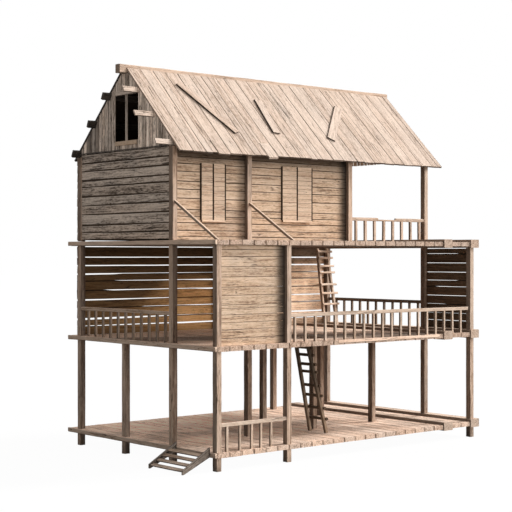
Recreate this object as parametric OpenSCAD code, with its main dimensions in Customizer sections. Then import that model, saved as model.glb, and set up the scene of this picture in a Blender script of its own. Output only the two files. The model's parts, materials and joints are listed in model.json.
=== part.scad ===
// Stilted timber watchtower: three decks on square posts, a boarded cabin under a
// steep gable roof, slatted walls and railings on the storey below, open ground storey.
// Grid lines run along the left and front faces of the posts; lengths in millimetres.

/* [Posts and grid] */
// Side of a square post
post = 155; // [120:5:190]
// Front row, left post to the next post
bay_a = 2380; // [2000:10:2800]
// How far right the second post of the second row stands of the front one
inner_shift = 200; // [0:10:300]
// How far right the middle post of the second row stands of the ones behind it
mid_shift = 40; // [0:10:100]
// How far left the third posts of the third and rear rows stand of the second row's one
back_shift = 80; // [0:10:150]
// Left posts to the middle posts
bay_b = 5000; // [4600:10:5400]
// Left posts to the third posts
bay_c = 7450; // [7000:10:7800]
// Left posts to the right end posts
length = 9780; // [9400:10:11800]
// Left posts to the posts at the cabin's right corner
cabin_length = 6470; // [6000:10:7200]
// Front row to the second row, which is also the depth of the walkway
row_b = 1830; // [1600:10:2200]
// Front row to the third row
row_c = 3970; // [3500:10:4500]
// Front row to the rear row
row_d = 6180; // [5800:10:7420]

/* [Storeys] */
// Top of the lower deck above the ground
deck_rise = 470; // [350:5:600]
// Lower deck to middle deck, top to top
ground_storey = 2674; // [2200:1:3300]
// Middle deck to upper deck, top to top
middle_storey = 2700; // [2200:10:3300]
// Upper deck to the tops of the front cabin posts
cabin_height = 2476; // [2100:1:3000]

/* [Decks] */
// Thickness of the deck planks
deck_t = 130; // [90:5:160]
// Width of a deck plank
deck_board = 405; // [250:5:500]
// Width of the open joint cut between deck planks
deck_joint = 6; // [3:1:10]
// Depth of that joint
joint_depth = 14; // [5:1:30]
// How far the planks stand out in front of the front posts
deck_nose = 30; // [0:5:80]
// How far the planks run past the rear posts
deck_tail = 355; // [200:5:600]
// Thickness of the plank along the left end of a deck
fascia_t = 70; // [40:5:90]
// How far that plank runs past the deck at the back
fascia_tail = 50; // [0:5:100]
// Width of the raised cross beams
beam_w = 380; // [250:5:420]
// How far the raised beams stand above the planks
beam_lift = 75; // [40:5:100]
// How far the raised beams hang below the planks
beam_drop = 45; // [20:5:70]
// Left face of the inner raised beam, measured back from the right end beam
beam_pitch = 1200; // [900:10:1400]
// How far the end beam reaches left of the right end posts
beam_inset = 40; // [0:5:80]

/* [Walls] */
// Thickness of wall boards
wall_t = 30; // [20:1:45]
// Width of the open seams between the boards of a closed wall
seam = 5; // [2:1:8]
// Depth of those seams, cut from both faces
seam_depth = 8; // [4:1:9]
// How far a front wall stands behind the faces of its posts
front_setback = 85; // [30:5:110]
// How far an end wall stands behind the faces of its posts
end_setback = 25; // [10:1:60]
// Open strip under the cabin's left and rear walls
foot_gap = 25; // [0:5:60]
// Open gap above each board of the middle storey's slatted rear wall
slat_gap = 32; // [10:1:50]
// Open gap above each board of the middle storey's right end wall
end_gap = 24; // [8:1:50]
// Open gap above each board of the middle storey's front wall
tight_gap = 6; // [2:1:15]
// Width of the doorway from the cabin to the veranda
door_w = 900; // [700:10:1000]
// Height of that doorway
door_h = 2000; // [1800:10:2100]
// Distance from the second row to the near side of the doorway
door_y = 1770; // [1000:10:2200]

/* [Shutters] */
// Left edge of the first pair of shutters
pair_a_x = 1010; // [700:10:1300]
// Width of the first pair
pair_a_w = 790; // [600:10:1000]
// Left edge of the second pair
pair_b_x = 3915; // [3500:10:4300]
// Width of the second pair
pair_b_w = 1105; // [800:10:1300]
// Bottom of the shutters above the deck
shutter_z = 540; // [400:10:800]
// How much higher the second pair hangs
pair_b_lift = 40; // [0:5:60]
// Height of the shutters
shutter_h = 1525; // [1200:5:1550]
// Thickness of a shutter
shutter_t = 45; // [25:1:60]
// Gap between the two leaves of a pair
leaf_gap = 55; // [10:5:90]
// How far a shutter overlaps the edge of its window
shutter_lap = 45; // [20:5:80]
// Height of the ledge under a pair of shutters
ledge_h = 40; // [20:5:60]

/* [Roof] */
// Pitch of the roof
pitch = 45; // [35:1:50]
// Thickness of the roof boards
roof_t = 50; // [30:1:60]
// Width of a roof board
roof_board = 290; // [150:5:400]
// How far the front eave stands in front of the second row
eave = 320; // [200:5:450]
// How far the outer top corner of the front eave purlin is behind the front faces of its posts
purlin_seat = 56; // [30:2:90]
// How far that corner of the rear eave purlin is in front of the rear faces of its posts
rear_seat = 146; // [120:2:146]
// Width of the ridge beam
ridge_w = 200; // [120:5:240]
// Height of the ridge beam
ridge_h = 250; // [180:5:300]
// How far the ridge beam stands above the roof boards
ridge_lift = 90; // [40:5:120]
// How far the ridge beam runs past the left gable
ridge_nose = 230; // [0:5:400]
// How far the roof boards run past the right end posts
roof_tail = 315; // [100:5:400]
// How far the ridge beam runs past the roof boards at the right
ridge_tail = 50; // [0:5:250]
// Height of a purlin plank
purlin_h = 170; // [120:5:200]
// Thickness of a purlin plank
purlin_t = 50; // [35:1:70]
// Lean of the purlin planks from upright
purlin_lean = 26; // [0:1:40]
// Distance in plan from the eave purlin to the middle one
purlin_step_a = 790; // [600:10:900]
// Distance in plan from the middle purlin to the top one
purlin_step_b = 720; // [600:10:800]
// How far the front eave purlin runs past the left gable
eave_purlin_nose = 530; // [200:10:800]
// How far the front middle purlin runs past the left gable
middle_purlin_nose = 630; // [200:10:800]
// How far the front top purlin runs past the left gable
top_purlin_nose = 490; // [200:10:800]
// How far the rear purlins run past the left gable
rear_purlin_nose = 260; // [100:10:600]
// Thickness of the gable boards
gable_t = 30; // [20:1:45]
// Width of an upright gable board
gable_board = 137; // [90:1:250]
// Height of the strip along the foot of the left gable
strip_h = 30; // [15:5:60]
// How far that strip stands out of the gable
strip_t = 35; // [15:5:60]
// How far the foot of the right gable stands above the post tops
right_gable_lift = 60; // [0:5:100]

/* [Gable window] */
// Distance from the near side of the window to the middle of the ridge
window_off = 585; // [400:5:700]
// Width of the window
window_w = 1010; // [700:10:1200]
// Sill of the window above the foot of the gable
window_z = 260; // [150:10:400]
// Height of the gable above the window, up to the foot of the ridge beam
head_gap = 580; // [450:10:800]
// Width of the upright that halves the window
mullion_w = 105; // [60:5:140]
// Height of the boards above and below the window
trim_h = 125; // [80:5:160]
// How far those boards stand out of the gable
trim_t = 20; // [10:1:40]

/* [Railings] */
// Height of the lower storey's railing
lower_rail_h = 730; // [600:10:1000]
// Height of the middle storey's front railing
front_rail_h = 760; // [600:10:1000]
// Height of the middle storey's end railings
end_rail_h = 820; // [600:10:1000]
// Height of the veranda's railing
veranda_rail_h = 720; // [600:10:1000]
// Height of a handrail
rail_h = 90; // [60:5:110]
// Side of a square baluster
baluster = 60; // [40:5:80]
// Distance from the left post to the middle of the lower railing's first baluster
lower_start = 205; // [100:5:300]
// Mean distance between the balusters of the lower railing, which are spaced by eye
lower_step = 372; // [300:1:600]
// Distance from the left end of the front railing to the middle of its first baluster
front_start = 165; // [100:5:300]
// Distance between the balusters of the middle storey's front railing
front_step = 371; // [300:1:600]
// Distance from the front end of an end railing to the middle of its first baluster
end_start = 205; // [100:5:300]
// Distance between the balusters of the middle storey's end railings
end_step = 364; // [300:1:600]
// Distance between the balusters of the veranda's railing
veranda_step = 394; // [300:1:600]
// Distance from a post's face to the railing
rail_inset = 15; // [5:5:60]
// Gap between the front railing's free end and the right end post
rail_short = 80; // [0:10:200]
// Height of the broken top layer of the veranda's handrail
cap_h = 50; // [30:5:60]
// Length of the left remnant of that layer
cap_left = 1095; // [600:5:1300]
// Length of the right remnant of that layer
cap_right = 1280; // [600:5:1500]

/* [Ladders and stair] */
// Side of a square ladder stile
stile = 75; // [50:5:90]
// Side of a square rung
rung = 50; // [30:5:60]
// Foot of the lower ladder, from the left posts
low_ladder_x = 4775; // [4500:5:5200]
// Middle of the lower ladder, from the front posts
low_ladder_y = 1300; // [1200:10:1350]
// Lean of the lower ladder from upright
low_lean = 14; // [8:0.5:18]
// Width of the lower ladder at its foot, between the middles of its stiles
low_foot_w = 660; // [500:10:700]
// Width of the lower ladder at its head
low_head_w = 450; // [350:10:500]
// How far the lower ladder's rungs run past its stiles
low_overhang = 60; // [0:5:80]
// Middle of the upper ladder, from the right end posts
high_ladder_x = 480; // [440:10:520]
// Foot of the upper ladder, from the rear row
high_ladder_y = 730; // [600:10:1200]
// Lean of the upper ladder from upright
high_lean = 10; // [5:0.5:11]
// Width of the upper ladder at its foot
high_foot_w = 560; // [450:10:600]
// Width of the upper ladder at its head
high_head_w = 400; // [350:10:450]
// How far the upper ladder's rungs run past its left stile
high_overhang_left = 20; // [0:5:40]
// How far they run past its right stile
high_overhang_right = 120; // [0:5:120]
// How far a ladder reaches above the deck it climbs to
ladder_rise = 120; // [50:10:400]
// Free space on either side of a ladder in its hatch
hatch_room = 70; // [40:5:80]
// Length of a hatch
hatch_l = 760; // [600:10:800]
// How far the stair's foot stands out from the left posts
stair_reach = 950; // [800:10:1200]
// Near side of the stair, from the front posts
stair_y = 170; // [160:10:400]
// Width of the stair over its stringers
stair_w = 1430; // [1000:10:1450]
// Thickness of a stringer
stringer_t = 45; // [30:5:60]
// Height of a stringer at its foot
stringer_foot = 110; // [80:5:150]
// How far the stringers rise above the deck
stringer_lift = 137; // [0:1:160]
// Number of treads
treads = 4; // [3:1:6]
// Rise from the top tread to the deck, as a share of the rise between treads
last_rise = 0.4; // [0.2:0.1:1]
// Width of a tread
tread_w = 130; // [90:5:160]
// Thickness of a tread
tread_t = 35; // [20:1:45]
// How steeply a tread rises towards the deck
tread_tilt = 22; // [0:1:30]

/* [Braces and loose planks] */
// Side of a square brace
brace = 70; // [50:5:90]
// Height of a brace's upper end above the deck
brace_h = 1056; // [800:1:1300]
// Thickness of the loose planks on the roof
loose_t = 45; // [20:1:50]

/* [Hidden] */

// Gap left where two sloping faces meet
fit = 0.3;
// How far a cut runs past the faces it cuts
past = 1;

// Deck tops, and the undersides of planks and raised beams
deck_1 = deck_rise;
deck_2 = deck_1 + ground_storey;
deck_3 = deck_2 + middle_storey;
front_top = deck_3 + cabin_height;
// Height of the open middle storey between the raised beams of its decks
open_z = deck_2 + beam_lift;
open_h = deck_3 - deck_t - beam_drop - open_z;

// Raised beams and the plank fields between them
end_beam_x = length - beam_inset;
inner_beam_x = end_beam_x - beam_pitch;
beam_h = beam_lift + deck_t + beam_drop;
beam_nose = 2 * deck_nose;
deck_back = row_d + post + deck_tail;
fascia_back = deck_back + fascia_tail;

// Roof planes: height of the boards' top and under faces over a place y. The front eave
// purlin stands on the front posts, and the outer top corner of every purlin touches the roof.
ridge_y = (row_b + row_d) / 2;
roof_rise = tan(pitch);
roof_v = roof_t / cos(pitch);
purlin_fall = purlin_h * cos(purlin_lean) + purlin_t * sin(purlin_lean);
front_eave_purlin_y = row_b + purlin_seat;
rear_eave_purlin_y = row_d + post - rear_seat;
eave_y = row_b - eave;
eave_z = front_top + purlin_fall + roof_v + fit - (front_eave_purlin_y - eave_y) * roof_rise;
function from_ridge(y) = y <= ridge_y ? y : 2 * ridge_y - y;
function roof_top(y) = eave_z + (from_ridge(y) - eave_y) * roof_rise;
function roof_under(y) = roof_top(y) - roof_v;
ridge_side = ridge_y - ridge_w / 2;
ridge_top = roof_top(ridge_side) + ridge_lift;
roof_right = length + post + roof_tail;
ridge_right = roof_right + ridge_tail;

// Tops of the rear cabin posts, under the foot of the rear eave purlin
rear_top = roof_under(rear_eave_purlin_y) - fit - purlin_fall;

// Height of the gable window
window_h = ridge_top - ridge_h - head_gap - front_top - window_z;

// Places of the inner posts, the doorway and the upper ladder
inner_x = bay_a + inner_shift;
mid_x_b = bay_b + mid_shift;
back_x = bay_c - back_shift;
door_y0 = row_b + door_y;

// Loose planks on the front slope: place of the lower left corner, height of that corner
// up the slope from the eave, turn, length, width
loose_planks = [[2340, 825, 25.6, 2210, 220], [3850, 1015, -6.8, 1470, 260],
    [5965, 1000, -41.2, 2090, 270]];

// Boards that hang over the front eave: left edge, width, how far they hang over
long_boards = [[1270, 420, 60], [3040, 360, 80]];

// Heights of the boards of a wall from its foot up; they are stretched to the wall's height
rear_boards = [234, 188, 268, 208, 238, 238, 178, 208, 208, 282];
end_boards = [240, 215, 270, 257, 268, 181, 246, 279, 279, 155];
front_boards = [190, 220, 180, 200, 160, 80, 250, 210, 260, 260, 260, 180, 120];
cabin_boards = [100, 160, 200, 170, 180, 300, 240, 210, 260, 210, 180, 266];
grey_boards = [222, 209, 300, 261, 252, 275, 185, 255, 240, 255];
function sum_to(list, n) = n == 0 ? 0 : list[n - 1] + sum_to(list, n - 1);
function total(list) = sum_to(list, len(list));

// Heights of the rungs above a ladder's foot; they are stretched from this storey to its own
rung_marks = [395, 700, 1055, 1340, 1732, 1945, 2212, 2422];
rung_storey = 2700;

// How far each baluster of the lower railing is off the even spacing
lower_uneven = [0, 58, 86, 24, 2];

// Lengths of the ladders, each leaning and climbing one storey
low_l = ladder_l(ground_storey, low_lean);
high_l = ladder_l(middle_storey, high_lean);

// Middle of the plan, so that the origin is at the middle of the footprint
mid_x = (ridge_right - stair_reach) / 2;
mid_y = (fascia_back - beam_nose) / 2;

// Moves the tower so that the origin is at the middle of its footprint
module place() translate([-mid_x, -mid_y, 0]) children();

// An upright post whose left front corner is at x, y
module upright(x, y, z0, z1) translate([x, y, z0]) cube([post, post, z1 - z0]);

// A rectangle with a nick in both long sides at every joint between boards
module boarded_rectangle(x0, x1, y0, y1, board, joint, depth) {
    boards = max(1, round((x1 - x0) / board));
    pitch_x = (x1 - x0) / boards;
    difference() {
        translate([x0, y0]) square([x1 - x0, y1 - y0]);
        for (i = [1 : 1 : boards - 1], y = [y0, y1])
            translate([x0 + i * pitch_x - joint / 2, y - depth]) square([joint, 2 * depth]);
    }
}

// Planks laid front to back from x0 to x1, with joints cut on top, below and at their ends
module planks(x0, x1, top) {
    intersection() {
        translate([0, deck_back, 0]) rotate([90, 0, 0])
            linear_extrude(deck_back + deck_nose)
                boarded_rectangle(x0, x1, top - deck_t, top, deck_board, deck_joint, joint_depth);
        translate([0, 0, top - deck_t]) linear_extrude(deck_t)
            boarded_rectangle(x0, x1, -deck_nose, deck_back, deck_board, deck_joint, joint_depth);
    }
}

// Both plank fields of one deck, on either side of the inner raised beam
module deck(top) {
    planks(0, inner_beam_x, top);
    planks(inner_beam_x + beam_w, end_beam_x, top);
}

// A raised beam across the whole depth of a deck
module raised_beam(x, top)
    translate([x, -beam_nose, top - deck_t - beam_drop])
        cube([beam_w, beam_nose + deck_back, beam_h]);

// The two raised beams and the left end plank of one deck
module deck_beams(top) {
    raised_beam(inner_beam_x, top);
    raised_beam(end_beam_x, top);
    translate([-fascia_t, -deck_nose, top - deck_t])
        cube([fascia_t, deck_nose + fascia_back, deck_t]);
}

// Height of what carries a baluster at x: a raised beam or the planks
function floor_z(x, top) =
    x + baluster > inner_beam_x && x < inner_beam_x + beam_w ? top + beam_lift : top;

// Middles of the balusters in a railing of length l, evenly spread
function even_marks(l, step) =
    let (n = max(1, round(l / step))) [for (i = [0 : n - 1]) (i + 0.5) * l / n];

// Middles of balusters a step apart in a railing of length l, the last at least room from
// the railing's end
function stepped_marks(l, start, step, room) =
    [for (i = [0 : 1 : (l - start - room) / step]) start + i * step];

// Middles of the balusters in the lower railing of length l, spaced by eye
function uneven_marks(l) =
    let (marks = stepped_marks(l, lower_start, lower_step, lower_step))
        [for (i = [0 : len(marks) - 1]) marks[i] + lower_uneven[i % len(lower_uneven)]];

// A railing from left to right: handrail and balusters
module railing_x(x0, x1, y, top, h, marks, hand_h) {
    translate([x0, y, top + h - hand_h]) cube([x1 - x0, baluster, hand_h]);
    for (mark = marks) {
        x = x0 + mark - baluster / 2;
        translate([x, y, floor_z(x, top)])
            cube([baluster, baluster, top + h - hand_h / 2 - floor_z(x, top)]);
    }
}

// A railing from front to back: handrail and balusters
module railing_y(x, y0, y1, z0, h) {
    translate([x, y0, z0 + h - rail_h]) cube([baluster, y1 - y0, rail_h]);
    for (mark = stepped_marks(y1 - y0, end_start, end_step, 2 * baluster))
        translate([x, y0 + mark - baluster / 2, z0])
            cube([baluster, baluster, h - rail_h / 2]);
}

// Boards one above the other with a gap above each of them
module slatted_wall(corner, size_x, size_y, h, gap, boards) {
    n = len(boards);
    stretch = (h - n * gap) / total(boards);
    for (i = [0 : n - 1])
        translate(corner + [0, 0, i * gap + sum_to(boards, i) * stretch])
            cube([size_x, size_y, boards[i] * stretch]);
}

// Section of a closed wall with a seam in both faces between each two boards
module seamed_section(a0, a1, z0, z1, boards) {
    stretch = (z1 - z0) / total(boards);
    difference() {
        translate([a0, z0]) square([a1 - a0, z1 - z0]);
        for (i = [1 : 1 : len(boards) - 1], a = [a0, a1])
            translate([a - seam_depth, z0 + sum_to(boards, i) * stretch - seam / 2])
                square([2 * seam_depth, seam]);
    }
}

// A ladder's own frame has the middle of its foot at the origin and its width along x; the
// ladder leans back in y and narrows towards its head.
module low_ladder_place()
    translate([low_ladder_x, low_ladder_y, deck_1]) rotate(90) children();
module high_ladder_place()
    translate([length - high_ladder_x, row_d - high_ladder_y, deck_2]) children();

// Both stiles of a ladder, cut level at the foot
module ladder_stiles(foot_w, head_w, lean, l) intersection() {
    splay = asin((foot_w - head_w) / 2 / l);
    rotate([-lean, 0, 0])
        for (side = [-1, 1])
            translate([side * foot_w / 2, 0, 0]) rotate([0, -side * splay, 0])
                translate([-stile / 2, 0, -stile]) cube([stile, stile, l + stile]);
    translate([-foot_w, -l, 0]) cube([2 * foot_w, 2 * l, l]);
}

// The rungs of a ladder, nailed to the front faces of its stiles
module ladder_rungs(foot_w, head_w, lean, l, storey, left, right)
    rotate([-lean, 0, 0])
        for (mark = rung_marks) {
            z = mark * storey / rung_storey / cos(lean);
            half_w = (foot_w - (foot_w - head_w) * z / l + stile) / 2;
            translate([-half_w - left, -rung, z - rung / 2])
                cube([2 * half_w + left + right, rung, rung]);
        }

// Length of a ladder that leans by lean and climbs a storey of height h
function ladder_l(h, lean) = (h + ladder_rise) / cos(lean);

// The hatch round a ladder: its rear edge is just behind the ladder at the deck's top
module hatch(foot_w, lean, storey) {
    half_w = foot_w / 2 + hatch_room;
    rear = storey * tan(lean) + stile / cos(lean) + fit;
    translate([-half_w, rear - hatch_l, storey - deck_t - past])
        cube([2 * half_w, hatch_l, deck_t + 2 * past]);
}

// Outline of a purlin plank in the plane across the roof; side is 1 in front, -1 behind
module purlin_section(y, side, grow = 0) {
    translate([y, roof_under(y) - fit]) rotate(side * -purlin_lean)
        translate([side > 0 ? -grow : -purlin_t - grow, -purlin_h - grow])
            square([purlin_t + 2 * grow, purlin_h + 2 * grow]);
}

// Where the three purlins of a slope are, measured from its eave purlin, and their left ends
purlin_steps = [0, purlin_step_a, purlin_step_a + purlin_step_b];
front_noses = [eave_purlin_nose, middle_purlin_nose, top_purlin_nose];
rear_noses = [rear_purlin_nose, rear_purlin_nose, rear_purlin_nose];
function purlin_y(i, side) =
    side > 0 ? front_eave_purlin_y + purlin_steps[i] : rear_eave_purlin_y - purlin_steps[i];

// Turns an outline drawn in y and z into a solid that runs from x0 to x1
module run_x(x0, x1)
    translate([x0, 0, 0]) rotate([90, 0, 90]) linear_extrude(x1 - x0) children();

// Turns an outline drawn in x and z into a solid that runs from y0 to y1
module run_y(y0, y1)
    translate([0, y1, 0]) rotate([90, 0, 0]) linear_extrude(y1 - y0) children();

module purlins(side, noses) {
    for (i = [0 : 2])
        run_x(-noses[i], roof_right - roof_t) purlin_section(purlin_y(i, side), side);
}

// The same kind of cut in a wall as in the gables, where the rear eave purlin passes over it
module rear_purlin_cut()
    run_x(-past, length + post + past) purlin_section(rear_eave_purlin_y, -1, fit);

// The boarded triangle under the roof, notched for the purlins and cut flat under the ridge
module gable_outline(foot_z) {
    top_z = ridge_top - ridge_h - fit;
    shoulder = eave_y + (top_z + fit + roof_v - eave_z) / roof_rise;
    front = front_eave_purlin_y;
    rear = rear_eave_purlin_y;
    difference() {
        polygon([[front, foot_z], [front, roof_under(front) - fit], [shoulder, top_z],
            [2 * ridge_y - shoulder, top_z], [rear, roof_under(rear) - fit], [rear, foot_z]]);
        for (i = [0 : 2], side = [1, -1]) purlin_section(purlin_y(i, side), side, fit);
    }
}

// A gable with a seam in both faces between each two upright boards
module gable(x, foot_z) intersection() {
    run_x(x, x + gable_t) gable_outline(foot_z);
    translate([x + gable_t, 0, foot_z]) linear_extrude(ridge_top - foot_z) rotate(90)
        boarded_rectangle(front_eave_purlin_y, rear_eave_purlin_y, 0, gable_t, gable_board,
            seam, seam_depth);
}

// One slope of the roof in front of the ridge, drawn in y and z
module slope_outline()
    polygon([[eave_y, eave_z], [ridge_side - fit, roof_top(ridge_side - fit)],
        [ridge_side - fit, roof_under(ridge_side - fit)],
        [eave_y + roof_t * sin(pitch), eave_z - roof_t * cos(pitch)]]);

// The front slope with the joints between its boards cut above and below
module roof_slope() {
    slope_l = (ridge_side - eave_y) / cos(pitch);
    intersection() {
        run_x(0, roof_right) slope_outline();
        translate([0, eave_y, eave_z]) rotate([90 + pitch, 0, 0]) mirror([0, 0, 1])
            translate([0, 0, -roof_t]) linear_extrude(slope_l + 2 * roof_t)
                boarded_rectangle(0, roof_right, -roof_t, 0, roof_board, deck_joint, joint_depth);
    }
}

// ---- Sub-parts ----

module foot_posts() place() color("rosybrown") {
    for (x = [0, bay_a]) upright(x, 0, 0, deck_1 - deck_t);
    for (x = [0, inner_x, mid_x_b, bay_c]) upright(x, row_b, 0, deck_1 - deck_t);
    for (x = [0, bay_b, back_x], y = [row_c, row_d]) upright(x, y, 0, deck_1 - deck_t);
    for (y = [0, row_b, row_d]) upright(length, y, 0, deck_1 - deck_t - beam_drop);
}

// A row of ground storey posts; the last one stands between raised beams
module ground_row(xs, y, has_end) {
    for (x = xs) upright(x, y, deck_1, deck_2 - deck_t);
    if (has_end) upright(length, y, deck_1 + beam_lift, deck_2 - deck_t - beam_drop);
}

module front_ground_posts() place() color("tan") ground_row([0, bay_a], 0, true);
module second_ground_posts() place() color("tan")
    ground_row([0, inner_x, mid_x_b, bay_c], row_b, true);
module third_ground_posts() place() color("tan") ground_row([0, bay_b, back_x], row_c, false);
module rear_ground_posts() place() color("tan") ground_row([0, bay_b, back_x], row_d, true);

module lower_deck() place() color("burlywood") deck(deck_1);
module lower_deck_beams() place() color("tan") deck_beams(deck_1);
module lower_front_railing() place() color("burlywood")
    railing_x(post, bay_a, rail_inset, deck_1, lower_rail_h, uneven_marks(bay_a - post), rail_h);

module stair_stringers() place() color("dimgray")
    for (y = [stair_y, stair_y + stair_w - stringer_t])
        translate([0, y + stringer_t, 0]) rotate([90, 0, 0]) linear_extrude(stringer_t)
            polygon([[-stair_reach, 0], [-stair_reach + stringer_t, 0],
                [-fascia_t, deck_1 - stringer_foot], [-fascia_t, deck_1 + stringer_lift],
                [-stair_reach, stringer_foot]]);

module stair_treads() place() color("rosybrown") {
    run = stair_reach - fascia_t;
    rise = deck_1 - stringer_foot;
    for (i = [0 : treads - 1]) {
        x = -stair_reach + tread_t + i * (run - tread_w) / treads;
        z = stringer_foot / 2 + i * rise / (treads - 1 + last_rise);
        translate([x, stair_y + stringer_t, z]) rotate([0, -tread_tilt, 0])
            cube([tread_w, stair_w - 2 * stringer_t, tread_t]);
    }
}

module lower_ladder_stiles() place() color("sienna") low_ladder_place()
    ladder_stiles(low_foot_w, low_head_w, low_lean, low_l);
module lower_ladder_rungs() place() color("sienna") low_ladder_place()
    ladder_rungs(low_foot_w, low_head_w, low_lean, low_l, ground_storey, low_overhang,
        low_overhang);

module middle_deck() place() color("burlywood") difference() {
    deck(deck_2);
    low_ladder_place() hatch(low_foot_w, low_lean, ground_storey);
}
module middle_deck_beams() place() color("tan") deck_beams(deck_2);

module middle_posts() place() color("tan") {
    for (at = [[0, 0], [bay_a, 0], [0, row_b], [inner_x, row_b], [0, row_d], [bay_b, row_d],
            [back_x, row_d]])
        upright(at.x, at.y, deck_2, deck_3 - deck_t);
    for (y = [0, row_b, row_d])
        upright(length, y, deck_2 + beam_lift, deck_3 - deck_t - beam_drop);
}

module middle_front_wall() place() color("burlywood")
    slatted_wall([post, front_setback, deck_2], bay_a - post, wall_t,
        middle_storey - deck_t, tight_gap, front_boards);
module middle_rear_wall() place() color("peru") difference() {
    slatted_wall([0, row_d + post, deck_2], length + post, wall_t, middle_storey - deck_t,
        slat_gap, rear_boards);
    for (x = [inner_beam_x, end_beam_x], top = [deck_2, deck_3]) raised_beam(x, top);
}
module middle_right_wall() place() color("sienna")
    slatted_wall([length + post - end_setback - wall_t, post, open_z], wall_t, row_b - post,
        open_h, end_gap, end_boards);

module middle_left_railing() place() color("rosybrown")
    railing_y(rail_inset, row_b + post, row_d, deck_2, end_rail_h);
module middle_front_railing() place() color("burlywood")
    railing_x(bay_a + post, length - rail_short, rail_inset, deck_2, front_rail_h,
        stepped_marks(length - rail_short - bay_a - post, front_start, front_step, 2 * baluster),
        rail_h);
module middle_right_railing() place() color("burlywood")
    railing_y(length + post - rail_inset - baluster, row_b + post, row_d, open_z, end_rail_h);

module upper_ladder_stiles() place() color("burlywood") high_ladder_place()
    ladder_stiles(high_foot_w, high_head_w, high_lean, high_l);
module upper_ladder_rungs() place() color("burlywood") high_ladder_place()
    ladder_rungs(high_foot_w, high_head_w, high_lean, high_l, middle_storey, high_overhang_left,
        high_overhang_right);

module upper_deck() place() color("burlywood") difference() {
    deck(deck_3);
    high_ladder_place() hatch(high_foot_w, high_lean, middle_storey);
}
module upper_deck_beams() place() color("tan") deck_beams(deck_3);

module cabin_posts() place() color("tan")
    for (x = [0, inner_x, cabin_length]) {
        upright(x, row_b, deck_3, front_top);
        upright(x, row_d, deck_3, rear_top);
    }
module veranda_posts() place() color("tan") {
    upright(length, row_b, deck_3 + beam_lift, front_top);
    upright(length, row_d, deck_3 + beam_lift, rear_top);
}

module deck_braces() place() color("tan") {
    slope = atan(brace_h / row_b);
    for (x = [0, inner_x])
        run_x(x + (post - brace) / 2, x + (post + brace) / 2)
            polygon([[0, deck_3], [brace / sin(slope), deck_3],
                [row_b, deck_3 + brace_h - brace / cos(slope)], [row_b, deck_3 + brace_h]]);
}

// The window opening behind a pair of shutters
module shutter_window(x, w, z)
    translate([x + shutter_lap, row_b + front_setback - past, z + shutter_lap])
        cube([w - 2 * shutter_lap, wall_t + 2 * past, shutter_h - 2 * shutter_lap]);

module cabin_front_wall() place() color("tan") difference() {
    y = row_b + front_setback;
    for (span = [[post, inner_x], [inner_x + post, cabin_length]])
        run_x(span[0], span[1]) seamed_section(y, y + wall_t, deck_3, front_top, cabin_boards);
    shutter_window(pair_a_x, pair_a_w, deck_3 + shutter_z);
    shutter_window(pair_b_x, pair_b_w, deck_3 + shutter_z + pair_b_lift);
}

module cabin_left_wall() place() color("dimgray") difference() {
    run_y(row_b + post, row_d)
        seamed_section(end_setback, end_setback + wall_t, deck_3 + foot_gap, front_top,
            grey_boards);
    rear_purlin_cut();
}

module cabin_rear_wall() place() color("dimgray") {
    y = row_d + post;
    top = min(rear_top, roof_under(y + wall_t) - fit);
    run_x(0, cabin_length + post)
        seamed_section(y, y + wall_t, deck_3 + foot_gap, top, grey_boards);
}

// A stretch of the wall between the cabin and the veranda, from z0 up
module veranda_wall(y0, y1, z0) difference() {
    x = cabin_length + post - end_setback - wall_t;
    run_y(y0, y1) intersection() {
        seamed_section(x, x + wall_t, deck_3, front_top, cabin_boards);
        translate([x, z0]) square([wall_t, front_top - z0]);
    }
    rear_purlin_cut();
}

module veranda_wall_front() place() color("tan") veranda_wall(row_b + post, door_y0, deck_3);
module veranda_wall_rear() place() color("tan") veranda_wall(door_y0 + door_w, row_d, deck_3);
module veranda_wall_over_door() place() color("tan")
    veranda_wall(door_y0, door_y0 + door_w, deck_3 + door_h);

// Both leaves of a pair of shutters, flat against the wall
module shutter_pair(x, w, z) {
    leaf = (w - leaf_gap) / 2;
    for (i = [0, 1])
        translate([x + i * (leaf + leaf_gap), row_b + front_setback - shutter_t, z])
            cube([leaf, shutter_t, shutter_h]);
}

module shutters() place() color("burlywood") {
    shutter_pair(pair_a_x, pair_a_w, deck_3 + shutter_z);
    shutter_pair(pair_b_x, pair_b_w, deck_3 + shutter_z + pair_b_lift);
}

module shutter_ledges() place() color("burlywood")
    for (at = [[pair_a_x, pair_a_w, 0], [pair_b_x, pair_b_w, pair_b_lift]])
        translate([at[0], row_b + front_setback - shutter_t - ledge_h / 2,
            deck_3 + shutter_z + at[2] - ledge_h])
            cube([at[1], shutter_t + ledge_h / 2, ledge_h]);

module veranda_railing() place() color("burlywood") {
    x0 = cabin_length + post;
    z = deck_3 + veranda_rail_h - cap_h;
    railing_x(x0, length, row_b + rail_inset, deck_3, veranda_rail_h - cap_h,
        even_marks(length - x0, veranda_step), rail_h - cap_h);
    for (cap = [[x0, cap_left], [length - cap_right, cap_right]])
        translate([cap[0], row_b + rail_inset, z]) cube([cap[1], baluster, cap_h]);
}

module front_purlins() place() color("wheat") purlins(1, front_noses);
module rear_purlins() place() color("wheat") purlins(-1, rear_noses);

module left_gable() place() color("gray") difference() {
    gable(0, front_top);
    translate([-past, ridge_y - window_off, front_top + window_z])
        cube([gable_t + 2 * past, window_w, window_h]);
}

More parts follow.
